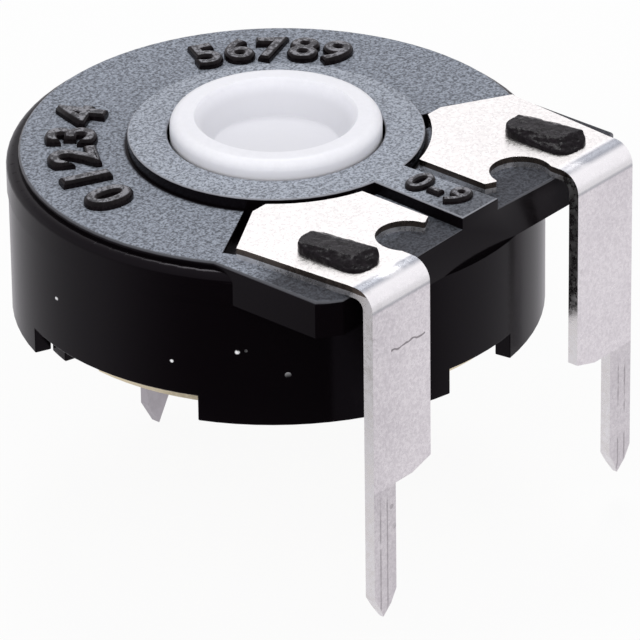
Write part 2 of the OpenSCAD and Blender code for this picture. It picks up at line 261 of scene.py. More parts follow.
class Net:
    """A node tree that is wired by short calls."""

    def __init__(self, tree: bpy.types.NodeTree) -> None:
        """Start with an empty tree."""
        self.tree = tree
        tree.nodes.clear()

    def add(self, kind: str, sockets: dict[str | int, object] | None = None,
            **settings: object) -> bpy.types.Node:
        """Add a node.

        Args:
            kind: The node's class name.
            sockets: Inputs by name or number: a socket is linked and a value is set.
            **settings: The node's own properties.

        Returns:
            The new node.
        """
        node = self.tree.nodes.new(kind)
        for name, value in settings.items():
            setattr(node, name, value)
        for name, value in (sockets or {}).items():
            self.put(node, name, value)
        return node

    def put(self, node: bpy.types.Node, name: str | int, value: object) -> None:
        """Link a socket to an input, or set the input's value.

        Args:
            node: The node that has the input.
            name: The input's name or number.
            value: A socket, a number, a vector, or a colour without its alpha.
        """
        if isinstance(value, bpy.types.NodeSocket):
            self.tree.links.new(value, node.inputs[name])
        elif isinstance(value, tuple) and len(value) == 3 and node.inputs[name].type == "RGBA":
            node.inputs[name].default_value = (*value, 1.0)
        else:
            node.inputs[name].default_value = value

    def math(self, how: str, a: object, b: object = 0.0) -> bpy.types.NodeSocket:
        """Work out one number from two, kept from 0 to 1 where it is a product or a sum.

        Args:
            how: The operation's name.
            a: The first number or socket.
            b: The second one.

        Returns:
            The socket that holds the result.
        """
        node = self.add("ShaderNodeMath", {0: a, 1: b}, operation=how)
        node.use_clamp = how in ("MULTIPLY", "ADD")
        return node.outputs[0]

    def measure(self, how: str, a: object, b: object = 0.0, c: object = 0.0) -> bpy.types.NodeSocket:
        """Work out a number that isn't kept from 0 to 1, such as a length."""
        return self.add("ShaderNodeMath", {0: a, 1: b, 2: c}, operation=how).outputs[0]

    def vector(self, how: str, a: object, b: object = (0.0, 0.0, 0.0)) -> bpy.types.Node:
        """Work with vectors, and give the node with both of its outputs."""
        return self.add("ShaderNodeVectorMath", {0: a, 1: b}, operation=how)

    def place(self) -> bpy.types.NodeSocket:
        """The point that is shaded, in object coordinates."""
        return self.add("ShaderNodeTexCoord").outputs["Object"]

    def split(self, value: bpy.types.NodeSocket) -> bpy.types.bpy_prop_collection:
        """The x, y and z of a vector."""
        return self.add("ShaderNodeSeparateXYZ", {0: value}).outputs

    def upward(self) -> bpy.types.NodeSocket:
        """How far the face looks up, from -1 to 1."""
        return self.split(self.add("ShaderNodeNewGeometry").outputs["Normal"])[2]

    def bump(self, shader: bpy.types.Node, height: bpy.types.NodeSocket, strength: float,
             distance: float) -> None:
        """Bump a shader's surface.

        Args:
            shader: The Principled shader.
            height: The height of the bumps, from 0 to 1.
            strength: The share of the bumps that shows.
            distance: Their depth in millimetres.
        """
        node = self.add("ShaderNodeBump", {"Strength": strength, "Distance": distance * MM, "Height": height})
        self.put(shader, "Normal", node.outputs[0])

    def spread(self, value: object, low: float, high: float, to_low: float = 0.0,
               to_high: float = 1.0) -> bpy.types.NodeSocket:
        """Spread a range of a value smoothly over another range.

        Args:
            value: The number or socket.
            low: Where the range starts.
            high: Where it ends.
            to_low: What its start becomes.
            to_high: What its end becomes.

        Returns:
            The socket that holds the result.
        """
        node = self.add("ShaderNodeMapRange", {0: value, 1: low, 2: high, 3: to_low, 4: to_high},
                        interpolation_type="SMOOTHSTEP")
        return node.outputs[0]

    def blend(self, factor: object, a: object, b: object) -> bpy.types.NodeSocket:
        """Blend two colours.

        Args:
            factor: The share of the second one.
            a: The first colour or socket.
            b: The second one.

        Returns:
            The socket that holds the colour.
        """
        node = self.add("ShaderNodeMix", {0: factor}, data_type="RGBA")
        self.put(node, 6, a)
        self.put(node, 7, b)
        return node.outputs[2]

    def noise(self, at: object, scale: float, detail: float = 2.0) -> bpy.types.NodeSocket:
        """Even noise, from about 0.3 to 0.7."""
        return self.add("ShaderNodeTexNoise", {"Vector": at, "Scale": scale, "Detail": detail}).outputs[0]


def group_tree(name: str, inputs: dict[str, float], outputs: Iterable[str]
               ) -> tuple[bpy.types.NodeTree, Net, bpy.types.Node, bpy.types.Node]:
    """Make a shader group with named number sockets.

    Args:
        name: The group's name.
        inputs: Its inputs and their usual values.
        outputs: The names of its outputs.

    Returns:
        The tree, its net, and the nodes that stand for its inputs and outputs.
    """
    tree = bpy.data.node_groups.new(name, "ShaderNodeTree")
    for key, value in inputs.items():
        tree.interface.new_socket(key, in_out="INPUT", socket_type="NodeSocketFloat").default_value = value
    for key in outputs:
        tree.interface.new_socket(key, in_out="OUTPUT", socket_type="NodeSocketFloat")
    net = Net(tree)
    return tree, net, net.add("NodeGroupInput"), net.add("NodeGroupOutput")


class Effects:
    """Shader groups that more than one finish uses."""

    def __init__(self) -> None:
        """Build each group once."""
        self.grain = self._grain()
        self.dust = self._dust()
        self.marks = self._marks()

    @staticmethod
    def _grain() -> bpy.types.NodeTree:
        """Fine pitting of an eroded mould or a plated sheet.

        Returns:
            A group that gives a height and a mottling.
        """
        tree, net, given, out = group_tree("Fine grain", {"Scale": 9000.0, "Mottle": 1800.0},
                                           ("Height", "Mottling"))
        at = net.place()
        fine = net.noise(at, 1.0, 3.0)
        fine.node.inputs["Roughness"].default_value = 0.7
        net.put(fine.node, "Scale", given.outputs["Scale"])
        broad = net.noise(at, 1.0, 2.0)
        net.put(broad.node, "Scale", given.outputs["Mottle"])
        net.put(out, "Height", fine)
        both = net.math("ADD", net.math("MULTIPLY", fine, 0.65), net.math("MULTIPLY", broad, 0.35))
        net.put(out, "Mottling", net.spread(both, 0.38, 0.62))
        return tree

    @staticmethod
    def _dust() -> bpy.types.NodeTree:
        """Sparse specks in loose clusters.

        Returns:
            A group that gives a mask.
        """
        tree, net, given, out = group_tree("Dust", {"Scale": 700.0, "Size": 0.1}, ("Mask",))
        at = net.place()
        cell = net.add("ShaderNodeTexVoronoi", {"Vector": at})
        net.put(cell, "Scale", given.outputs["Scale"])
        chosen = net.spread(net.noise(at, 260.0), 0.62, 0.66)
        near = net.math("LESS_THAN", cell.outputs["Distance"], given.outputs["Size"])
        net.put(out, "Mask", net.math("MULTIPLY", near, chosen))
        return tree

    @staticmethod
    def _marks() -> bpy.types.NodeTree:
        """Rubbed patches on a handled sheet.

        Returns:
            A group that gives a mask.
        """
        tree, net, given, out = group_tree("Handling marks", {"Patch": 450.0}, ("Patches",))
        patches = net.noise(net.place(), 1.0, 4.0)
        net.put(patches.node, "Scale", given.outputs["Patch"])
        net.put(out, "Patches", net.spread(patches, 0.4, 0.68))
        return tree


def new_material(name: str) -> tuple[bpy.types.Material, Net, bpy.types.Node]:
    """Make a material with one Principled shader.

    Args:
        name: The material's name.

    Returns:
        The material, its net and the shader.
    """
    material = bpy.data.materials.new(name)
    material.use_nodes = True
    net = Net(material.node_tree)
    shader = net.add("ShaderNodeBsdfPrincipled")
    net.add("ShaderNodeOutputMaterial", {"Surface": shader.outputs[0]})
    return material, net, shader


def use_group(net: Net, tree: bpy.types.NodeTree, **values: float) -> bpy.types.Node:
    """Place a shader group in a material.

    Args:
        net: The material's net.
        tree: The group.
        **values: The values of its inputs.

    Returns:
        The group's node.
    """
    node = net.add("ShaderNodeGroup", node_tree=tree)
    for name, value in values.items():
        node.inputs[name].default_value = value
    return node


# ---- Finishes ------------------------------------------------------------


@dataclass(frozen=True)
class MouldedBlack:
    """Black moulding: eroded grain on the top faces, greyed partly by painted sheen; painted highlights on
    the eased edges and raised tops; painted shade at the front and round the boss; polished walls.
    """

    effects: Effects
    # Grey of the grained top faces: partly the grain's own tone, partly painted sheen.
    top: Colour = (0.21, 0.23, 0.27)
    # Painted highlight on the eased top edges of the disc, boss and rib.
    rim: Colour = (0.36, 0.37, 0.41)
    wall: Colour = (0.0022, 0.0014, 0.002)
    # Painted highlight: paler blue-grey blended into the raised boss and rib tops.
    boss: Colour = (0.62, 0.66, 0.74)
    dust: Colour = (0.6, 0.6, 0.62)
    fleck: Colour = (0.8, 0.8, 0.82)
    gloss: Colour = (0.96, 0.88, 1.0)
    ior: float = 1.2
    roughness: tuple[float, float] = (0.17, 0.5)
    grained_from: float = 5.62 * MM
    rib_from: float = 5.95 * MM
    boss_r: float = 4.08 * MM
    flecks: tuple[Place, ...] = ((-7.2, 1.71, 3.3), (-6.25, -3.95, 3.22), (-7.04, -2.29, 2.7))

    def build(self) -> bpy.types.Material:
        """Build the material.

        Returns:
            The material.
        """
        material, net, shader = new_material("Moulded black")
        grain = use_group(net, self.effects.grain, Scale=15000.0, Mottle=8000.0)
        dust = use_group(net, self.effects.dust, Scale=800.0, Size=0.07)
        mottling, up, at = grain.outputs["Mottling"], net.upward(), net.place()
        height = net.split(at)[2]
        high = net.math("GREATER_THAN", height, self.grained_from)
        raised = net.math("GREATER_THAN", height, self.rib_from)
        facing = net.math("MULTIPLY", net.spread(up, 0.72, 0.97), high)
        rounded = net.math("MULTIPLY", net.spread(up, 0.3, 0.6), net.spread(up, 0.99, 0.82))
        dark, bright = (tuple(share * c for c in self.top) for share in (0.45, 1.68))
        textured = net.blend(mottling, dark, bright)
        # Painted highlight: the boss and rib tops are lightened towards the boss colour.
        textured = net.blend(net.math("MULTIPLY", raised, net.spread(mottling, 0.0, 1.0, 0.1, 0.34)),
                             textured, self.boss)
        # Painted shade: the front of the top, the low floor and the strips beside the plates darken towards
        # the wall colour.
        textured = net.blend(self._painted_front_shade(net, at), textured, self.wall)
        # Painted shadow: a dark ring on the disc along the foot of the boss.
        textured = net.blend(self._painted_foot_shadow(net, at, height), textured, self.wall)
        # Up-facing grained faces take the grey top colour, part grain tone and part painted sheen; other
        # faces keep the wall black.
        colour = net.blend(facing, self.wall, textured)
        # Painted highlight: a pale line along the eased top edges, stronger on the boss and rib.
        painted_highlight = net.math("MULTIPLY", net.math("MULTIPLY", rounded, high),
                        net.spread(raised, 0.0, 1.0, 0.22, 0.75))
        colour = net.blend(painted_highlight, colour, self.rim)
        colour = net.blend(net.math("MULTIPLY", dust.outputs["Mask"], 0.5), colour, self.dust)
        net.put(shader, "Base Color", net.blend(self._flecks(net, at), colour, self.fleck))
        net.put(shader, "Roughness", net.spread(facing, 0.0, 1.0, *self.roughness))
        shader.inputs["IOR"].default_value = self.ior
        shader.inputs["Specular Tint"].default_value = (*self.gloss, 1.0)
        net.bump(shader, net.math("MULTIPLY", grain.outputs["Height"], facing), 0.55, 0.02)
        return material

    def _painted_foot_shadow(self, net: Net, at: bpy.types.NodeSocket, height: bpy.types.NodeSocket) -> bpy.types.NodeSocket:
        """Mask the painted shadow: a dark line on the disc along the foot of the boss.

        Args:
            net: The material's net.
            at: The point, in object coordinates.
            height: Its z.

        Returns:
            A mask: a thin ring on the disc.
        """
        reach = net.vector("LENGTH", net.vector("MULTIPLY", at, (1.0, 1.0, 0.0)).outputs[0]).outputs["Value"]
        ring = net.spread(reach, self.boss_r + 0.14 * MM, self.boss_r + 0.04 * MM)
        return net.math("MULTIPLY", ring, net.math("LESS_THAN", height, self.rib_from))

    def _flecks(self, net: Net, at: bpy.types.NodeSocket) -> bpy.types.NodeSocket:
        """Mask the few pale flecks of dust that stick to the wall.

        Args:
            net: The material's net.
            at: The point, in object coordinates.

        Returns:
            A mask: a ragged spot at each fleck.
        """
        rough = net.noise(at, 9000.0, 1.0)
        mask: bpy.types.NodeSocket | float = 0.0
        for spot in self.flecks:
            away = net.vector("DISTANCE", at, tuple(MM * value for value in spot)).outputs["Value"]
            ragged = net.measure("MULTIPLY_ADD", rough, 0.1 * MM, away)
            mask = net.math("MAXIMUM", net.spread(ragged, 0.13 * MM, 0.1 * MM), mask)
        return mask

    def _painted_front_shade(self, net: Net, at: bpy.types.NodeSocket) -> bpy.types.NodeSocket:
        """Mask the painted shade at the front of the mould and beside the plates, where the grain fades to
        the dark wall colour.

        Args:
            net: The material's net.
            at: The point, in object coordinates.

        Returns:
            A mask, stronger on the low floor between the plates than on the rib.
        """
        x, y, z = net.split(at)
        low = net.spread(y, -5.2 * MM, -6.3 * MM, 0.0, 0.78)
        far = net.math("MULTIPLY", net.spread(x, 5.6 * MM, 5.75 * MM, 0.0, 0.85),
                       net.spread(y, -3.4 * MM, -3.8 * MM))
        near = net.math("MULTIPLY", net.spread(x, -5.2 * MM, -5.5 * MM, 0.0, 0.8),
                        net.spread(y, -4.2 * MM, -5.4 * MM))
        low = net.math("MAXIMUM", low, net.math("MAXIMUM", far, near))
        rib = net.spread(y, -5.0 * MM, -7.0 * MM, 0.0, 0.66)
        return net.spread(net.math("GREATER_THAN", z, self.rib_from), 0.0, 1.0, low, rib)


@dataclass(frozen=True)
class GlossBlack:
    """The same black where it was melted or came from a polished cut in the mould, with a painted highlight
    along its upward crests.
    """

    effects: Effects
    name: str
    # Strength of the painted highlight on the upward crests.
    painted_highlight: float = 0.8
    colour: Colour = (0.0035, 0.0025, 0.003)
    roughness: float = 0.16
    lumps: float = 0.1
    # Colour of the painted highlight.
    crest: Colour = (0.3, 0.3, 0.33)
    ior: float = 1.2

    def build(self) -> bpy.types.Material:
        """Build the material.

        Returns:
            The material.
        """
        material, net, shader = new_material(self.name)
        grain = use_group(net, self.effects.grain, Scale=9000.0, Mottle=3800.0)
        mottling = grain.outputs["Mottling"]
        base = net.blend(mottling, self.colour, tuple(2.4 * c for c in self.colour))
        # Painted highlight: the upward crests are blended towards the crest colour.
        crest_highlight = net.math("MULTIPLY", net.spread(net.upward(), 0.88, 1.0),
                          net.spread(mottling, 0.3, 0.7, 0.25 * self.painted_highlight, self.painted_highlight))
        net.put(shader, "Base Color", net.blend(crest_highlight, base, self.crest))
        net.put(shader, "Roughness", net.spread(mottling, 0.0, 1.0, self.roughness, self.roughness + 0.14))
        shader.inputs["IOR"].default_value = self.ior
        net.bump(shader, grain.outputs["Height"], self.lumps, 0.03)
        return material


@dataclass(frozen=True)
class WhiteResin:
    """Satin white moulding with a faint lilac shade, and painted shade darkening it below the rim."""

    effects: Effects
    colour: Colour = (0.84, 0.84, 0.89)
    roughness: tuple[float, float] = (0.42, 0.54)
    scatter: Colour = (0.5 * MM, 0.5 * MM, 0.55 * MM)
    # Height below which the painted shade of the dish begins.
    rim_z: float = 6.5 * MM

    def build(self) -> bpy.types.Material:
        """Build the material.

        Returns:
            The material.
        """
        material, net, shader = new_material("White resin")
        grain = use_group(net, self.effects.grain, Scale=5000.0, Mottle=700.0)
        shade, painted_dish_shade = (tuple(share * c for c in self.colour) for share in (0.965, 0.86))
        base = net.blend(grain.outputs["Mottling"], shade, self.colour)
        # Painted shade: faces below the rim height blend to a darker copy of the white.
        deep = net.spread(net.split(net.place())[2], self.rim_z, self.rim_z - 0.35 * MM)
        net.put(shader, "Base Color", net.blend(deep, base, painted_dish_shade))
        net.put(shader, "Roughness", net.spread(grain.outputs["Mottling"], 0.0, 1.0, *self.roughness))
        shader.inputs["Subsurface Weight"].default_value = 0.15
        shader.inputs["Subsurface Radius"].default_value = self.scatter
        shader.inputs["Subsurface Scale"].default_value = 1.0
        net.bump(shader, grain.outputs["Height"], 0.08, 0.01)
        return material


@dataclass(frozen=True)
class TinnedSheet:
    """Dull tin on a rolled sheet, with painted light and shade between its plate, bend and legs, grey streaks
    along the bend, and handling marks.
    """

    effects: Effects
    # Tin colours of the bend, the flat plate and the legs: copies of one tin, lighter or darker as painted
    # light and shade.
    bend_tin: Colour = (0.96, 0.955, 0.95)
    plate: Colour = (0.81, 0.795, 0.77)
    leg: Colour = (0.985, 0.95, 0.96)
    speckle: Colour = (0.74, 0.73, 0.75)
    streak_grey: Colour = (0.25, 0.27, 0.31)
    pin_shade: Colour = (0.1, 0.09, 0.1)
    scratch: Colour = (0.16, 0.14, 0.15)
    pit: Colour = (0.14, 0.13, 0.14)
    roughness: tuple[float, float] = (0.27, 0.4)
    bend_y: float = -7.42 * MM
    crease_z: float = 5.47 * MM
    score_z: float = 4.34 * MM
    score_x: tuple[float, float] = (-4.75 * MM, -3.35 * MM)
    rolled_x: tuple[float, float] = (5.24 * MM, 4.96 * MM)

    def build(self) -> bpy.types.Material:
        """Build the material.

        Returns:
            The material.
        """
        material, net, shader = new_material("Tinned sheet")
        grain = use_group(net, self.effects.grain, Scale=14000.0, Mottle=9000.0)
        marks = use_group(net, self.effects.marks, Patch=420.0)
        pits = use_group(net, self.effects.dust, Scale=2600.0, Size=0.3)
        mottling, patches, at = grain.outputs["Mottling"], marks.outputs["Patches"], net.place()
        place = net.split(at)
        below = net.spread(place[2], self.crease_z + 0.02 * MM, self.crease_z - 0.05 * MM)
        flat = net.spread(place[1], self.bend_y, self.bend_y + 0.2 * MM)
        # Painted light and shade: the bend, the flat plate and the legs take lighter and darker copies of one
        # tin colour.
        base = net.blend(below, net.blend(flat, self.bend_tin, self.plate), self.leg)
        darker = net.add("ShaderNodeMix", {0: 1.0}, data_type="RGBA", blend_type="MULTIPLY")
        net.put(darker, 6, base)
        net.put(darker, 7, self.speckle)
        speckle = net.math("ADD", net.math("MULTIPLY", mottling, 0.55), net.math("MULTIPLY", patches, 0.3))
        speckle = net.math("MULTIPLY", speckle, net.spread(below, 0.0, 1.0, 0.28, 1.0))
        bend_streaks = self._bend_streaks(net, place, patches)
        pin = net.math("MULTIPLY", net.spread(place[2], 0.05 * MM, -0.05 * MM), 0.16)
        lines = net.math("MULTIPLY", self._handling(net, at, place), 0.75)
        pitted = net.math("MULTIPLY", pits.outputs["Mask"], net.spread(below, 0.0, 1.0, 0.08, 0.45))
        for mask, colour in ((speckle, darker.outputs[2]), (bend_streaks, self.streak_grey), (pin, self.pin_shade),
                             (lines, self.scratch), (pitted, self.pit)):
            base = net.blend(mask, base, colour)
        net.put(shader, "Base Color", base)
        net.put(shader, "Roughness", net.spread(mottling, 0.0, 1.0, *self.roughness))
        shader.inputs["Metallic"].default_value = 1.0
        streaked_height = net.math("ADD", grain.outputs["Height"], net.math("MULTIPLY", bend_streaks, -0.6))
        net.bump(shader, streaked_height, 0.3, 0.012)
        return material

    def _bend_streaks(self, net: Net, place: bpy.types.bpy_prop_collection, patches: bpy.types.NodeSocket
                ) -> bpy.types.NodeSocket:
        """Work out where the sheet has grey streaks along the bend and a grey line under it.

        Args:
            net: The material's net.
            place: The x, y and z of the point.
            patches: Where handling scuffed the sheet.

        Returns:
            A mask: a crease under the bend and streaks above it.
        """
        crease = net.math("SUBTRACT", 1.0, net.spread(net.math("ABSOLUTE", net.math(
            "SUBTRACT", place[2], self.crease_z)), 0.0, 0.09 * MM))
        outer = net.math("LESS_THAN", place[1], self.bend_y)
        crease = net.math("MULTIPLY", net.math("MULTIPLY", crease, outer), 0.5)
        across = net.math("SUBTRACT", 1.0, net.spread(net.math("ABSOLUTE", net.math(
            "SUBTRACT", place[1], self.bend_y - 0.14 * MM)), 0.08 * MM, 0.26 * MM))
        streaks = net.math("MULTIPLY", across, net.spread(patches, -0.15, 0.3))
        return net.math("MAXIMUM", crease, net.math("MULTIPLY", streaks, 0.85))

    def _handling(self, net: Net, at: bpy.types.NodeSocket, place: bpy.types.bpy_prop_collection
                  ) -> bpy.types.NodeSocket:
        """Mask the thin lines on the legs: a crooked one scored across, two rolled along each pin.

        Args:
            net: The material's net.
            at: The point, in object coordinates.
            place: Its x, y and z.

        Returns:
            A mask of the lines.
        """
        wander = net.noise(at, 1500.0)
        level = net.measure("MULTIPLY_ADD", wander, 0.55 * MM, place[2])
        across = net.math("MULTIPLY", self._line(net, level, self.score_z, 0.05 * MM), net.math(
            "MULTIPLY", net.math("GREATER_THAN", place[0], self.score_x[0]),
            net.math("LESS_THAN", place[0], self.score_x[1])))
        side = net.measure("ABSOLUTE", place[0])
        along = net.math("MAXIMUM", self._line(net, side, self.rolled_x[0], 0.045 * MM),
                         self._line(net, side, self.rolled_x[1], 0.04 * MM))
        along = net.math("MULTIPLY", along, net.spread(place[2], -0.1 * MM, -0.6 * MM))
        broken = net.math("MULTIPLY", net.math("MULTIPLY", along, 0.6), net.spread(wander, 0.36, 0.5))
        return net.math("MAXIMUM", across, broken)

    @staticmethod
    def _line(net: Net, value: bpy.types.NodeSocket, middle: float, half: float) -> bpy.types.NodeSocket:
        """Mask a narrow line about one value of a coordinate."""
        return net.spread(net.measure("ABSOLUTE", net.measure("SUBTRACT", value, middle)), half, 0.3 * half)


@dataclass(frozen=True)
class PlainMetal:
    """Bare metal with a fine grain, darkened by painted shade over a band of heights: sheared edges, the
    collector and the spring.
    """

    effects: Effects
    name: str
    colour: Colour
    dull: Colour
    roughness: float = 0.35
    # Colour of the painted shade, and the band of heights that it covers.
    painted_shade_colour: Colour = (0.5, 0.5, 0.5)
    painted_shade_from: float = 0.0
    painted_shade_to: float = 0.0

    def build(self) -> bpy.types.Material:
        """Build the material.

        Returns:
            The material.
        """
        material, net, shader = new_material(self.name)
        grain = use_group(net, self.effects.grain, Scale=6000.0, Mottle=1100.0)
        base = net.blend(grain.outputs["Mottling"], self.dull, self.colour)
        height = net.split(net.place())[2]
        # Painted shade: the band of heights between the two limits blends to the shade colour.
        painted_shade_band = net.math("MULTIPLY", net.math("GREATER_THAN", height, self.painted_shade_from * MM),
                           net.math("LESS_THAN", height, self.painted_shade_to * MM))
        net.put(shader, "Base Color", net.blend(painted_shade_band, base, self.painted_shade_colour))
        shader.inputs["Metallic"].default_value = 1.0
        net.put(shader, "Roughness", net.spread(grain.outputs["Mottling"], 0.0, 1.0, self.roughness - 0.06,
                                                self.roughness + 0.08))
        net.bump(shader, grain.outputs["Height"], 0.3, 0.01)
        return material


@dataclass(frozen=True)
class PlainCoat:
    """Laminate, carbon or silver print: matt, with a fibre or particle mottling."""

    effects: Effects
    name: str
    colour: Colour
    shade: Colour
    roughness: float = 0.7

    def build(self) -> bpy.types.Material:
        """Build the material.

        Returns:
            The material.
        """
        material, net, shader = new_material(self.name)
        grain = use_group(net, self.effects.grain, Scale=5200.0, Mottle=900.0)
        net.put(shader, "Base Color", net.blend(grain.outputs["Mottling"], self.shade, self.colour))
        net.put(shader, "Roughness", net.spread(grain.outputs["Mottling"], 0.0, 1.0, self.roughness - 0.1,
                                                self.roughness + 0.1))
        net.bump(shader, grain.outputs["Height"], 0.3, 0.015)
        return material


def dress(obj: bpy.types.Object, *materials: bpy.types.Material) -> None:
    """Give an object its materials, the first one all over.

    Args:
        obj: The object.
        *materials: Its materials, in the order of its slots.
    """
    obj.data.materials.clear()
    for material in materials:
        obj.data.materials.append(material)


# ---- Housing -------------------------------------------------------------


@dataclass(frozen=True)
class NumeralRow:
    """One row of raised numerals: its text, first angle, step in degrees, radius and letter size."""

    name: str
    text: str
    first: float
    step: float
    radius: float
    size: float


@dataclass
class Housing:
    """The black moulded cup with its raised disc, boss, rib, heads and numerals."""

    black: bpy.types.Material
    numeral_black: bpy.types.Material
    melted_black: bpy.types.Material
    rim: float = 0.13
    shoulder_r: float = 7.15
    shoulder_z: float = 5.3
    shoulder_round: float = 0.25
    plate_z: float = 6.07
    head_x: float = 4.36
    head_y: float = -5.97
    head_size: tuple[float, float, float] = (1.3, 2.28, 0.3)
    rows: tuple[NumeralRow, ...] = (NumeralRow("numerals_left", "01234", 167.2, 13.0, 5.0, 1.8),
                                    NumeralRow("numerals_right", "56789", 61.7, 9.7, 4.9, 1.6))
    rib_mark: tuple[tuple[str, float], ...] = (("0", -5.1), ("-", -5.75), ("9", -6.4))
    rib_mark_x: float = -0.4
    rib_mark_size: float = 1.2
    disc_z: float = 5.75
    rib_z: float = 6.12

    def shell(self) -> None:
        """Dress the moulding: its edges are eased and its heads cut down to their pegs."""
        obj = merged_copy("housing")
        low, high = self.plate_z + 0.001, self.plate_z + 0.6
        for vertex in obj.data.vertices:
            beside = abs(abs(vertex.co.x) - self.head_x) < 0.9 and -7.15 < vertex.co.y < -4.6
            if beside and low < vertex.co.z < high:
                vertex.co.z = self.plate_z + 0.02
        weigh_edges(obj, self._roundness)
        apply_modifier(obj, "BEVEL", width=self.rim, segments=4, limit_method="WEIGHT",
                       use_clamp_overlap=False, miter_outer="MITER_ARC")
        flatten_shading(obj)
        self._round_normals(obj)
        dress(obj, self.black)
        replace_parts(settle(obj, "moulded_housing", "base"), "housing")

    def _round_normals(self, obj: bpy.types.Object) -> None:
        """Shade the turned walls and the rolled shoulder as the true round faces.

        Args:
            obj: The moulding, in millimetres.
        """
        mesh = obj.data
        normals = [Vector(corner.vector) for corner in mesh.corner_normals]
        for face in mesh.polygons:
            for loop in face.loop_indices:
                at = mesh.vertices[mesh.loops[loop].vertex_index].co
                radial = Vector((at.x, at.y, 0)).normalized()
                out = radial if face.normal.dot(radial) > 0 else -radial
                if abs(face.normal.z) < 0.02 and face.normal.dot(out) > 0.985:
                    normals[loop] = out
                elif self.shoulder_z < at.z < self.shoulder_z + self.shoulder_round + 0.02:
                    reach = math.hypot(at.x, at.y) - self.shoulder_r
                    rolled = (radial * reach + Vector((0, 0, at.z - self.shoulder_z))).normalized()
                    if 0 < reach < self.shoulder_round + 0.02 and face.normal.dot(rolled) > 0.85:
                        normals[loop] = rolled
        mesh.normals_split_custom_set(normals)

    def _roundness(self, middle: Vector) -> float:
        """Weigh an edge: full on the disc's rim, less on the boss and rib, little elsewhere.

        Args:
            middle: The middle of the edge.

        Returns:
            The edge's bevel weight.
        """
        radius = math.hypot(middle.x, middle.y)
        if abs(middle.z - self.disc_z) < 0.02 and radius > 6.5:
            return 1.0
        if abs(middle.z - self.rib_z) < 0.02:
            return 0.55
        if middle.z > 4.4 and radius > 7.12:
            return 0.0
        return 0.3

    def head(self, side: Side) -> None:
        """Model one heat-formed head: a melted lump that is rounder in front than at the back.

        Args:
            side: The side that it is on.
        """
        width, length, height = self.head_size
        middle = Vector((side.value * self.head_x, self.head_y, self.plate_z + height / 2 - 0.04))
        clear_selection()
        bpy.ops.mesh.primitive_cube_add(size=1, location=middle, scale=(width, length, height + 0.06))
        obj = bpy.context.object
        bpy.ops.object.transform_apply(location=True, rotation=True, scale=True)
        self._cut_corners(obj)
        top = middle.z + height / 2
        bisect(obj, Vector((middle.x - 0.3 * width, middle.y, top)), Vector((-0.45, -0.1, 1.0)))
        bisect(obj, Vector((middle.x + 0.36 * width, middle.y, top - 0.02)), Vector((0.5, 0.1, 1.0)))
        bisect(obj, Vector((middle.x, middle.y - 0.34 * length, top - 0.03)), Vector((-0.1, -0.5, 1.0)))
        apply_modifier(obj, "BEVEL", width=0.12, segments=4, limit_method="ANGLE",
                       angle_limit=math.radians(20))
        apply_modifier(obj, "REMESH", mode="VOXEL", voxel_size=0.03)
        cloud = bpy.data.textures.new(f"Melt {side.word}", "CLOUDS")
        cloud.noise_scale = 0.22
        cloud.noise_depth = 2
        apply_modifier(obj, "DISPLACE", texture=cloud, strength=0.06, mid_level=0.5, texture_coords="LOCAL")
        smooth(obj, 60)
        dress(obj, self.melted_black)
        settle(obj, "stake_head_" + side.word, "base")

    @staticmethod
    def _cut_corners(obj: bpy.types.Object) -> None:
        """Round the upright corners of a head, the front ones more than the back ones.

        Args:
            obj: The head, still a plain block.
        """
        xs = [vertex.co.x for vertex in obj.data.vertices]
        ys = [vertex.co.y for vertex in obj.data.vertices]
        for x, y, width, segments in ((min(xs), min(ys), 0.5, 5), (max(xs), min(ys), 0.6, 6),
                                      (max(xs), max(ys), 0.34, 4), (min(xs), max(ys), 0.42, 4)):
            edit(obj, lambda centre, normal: False)
            bpy.ops.mesh.select_mode(type="EDGE")
            leave()
            for line in obj.data.edges:
                a, b = (obj.data.vertices[i].co for i in line.vertices)
                line.select = all(abs(p.x - x) < 1e-3 and abs(p.y - y) < 1e-3 for p in (a, b))
            bpy.ops.object.mode_set(mode="EDIT")
            bpy.ops.mesh.bevel(offset=width, segments=segments, affect="EDGES")
            leave()

    def numeral(self, text: str, foot: Vector, degrees: float, size: float) -> bpy.types.Object:
        """Model one raised numeral with round strokes.

        Args:
            text: The character.
            foot: The middle of its foot, on the face that it stands on.
            degrees: The bearing of its top, from +x.
            size: The size of its type.

        Returns:
            The numeral's mesh, still in millimetres.
        """
        clear_selection()
        bpy.ops.object.text_add(rotation=(0, 0, math.radians(degrees - 90)), location=foot)
        obj = bpy.context.object
        obj.data.body = text
        obj.data.align_x = "CENTER"
        obj.data.size = size
        obj.data.extrude = 0.05 * size
        obj.data.offset = -0.02 * size
        obj.data.bevel_depth = 0.08 * size
        obj.data.bevel_resolution = 3
        obj.data.resolution_u = 5
        bpy.ops.object.convert(target="MESH")
        return obj

    def join(self, made: list[bpy.types.Object], name: str) -> None:
        """Join characters into one piece of the moulding.

        Args:
            made: The characters' meshes.
            name: The piece's name.
        """
        clear_selection()
        for obj in made:
            obj.select_set(True)
        bpy.context.view_layer.objects.active = made[0]
        bpy.ops.object.join()
        obj = bpy.context.object
        recalculate(obj)
        smooth(obj, 45)
        dress(obj, self.numeral_black)
        settle(obj, name, "base")

    def numerals(self) -> None:
        """Model the two rows of five plain numerals on the disc, and a small mark on the rib."""
        for row in self.rows:
            made = []
            for i, char in enumerate(row.text):
                angle = math.radians(row.first - row.step * i)
                foot = Vector((row.radius * math.cos(angle), row.radius * math.sin(angle), self.disc_z))
                made.append(self.numeral(char, foot, math.degrees(angle), row.size))
            self.join(made, row.name)
        self.join([self.numeral(char, Vector((self.rib_mark_x, y, self.rib_z)), 0.0, self.rib_mark_size)
                   for char, y in self.rib_mark], "rib_mark")

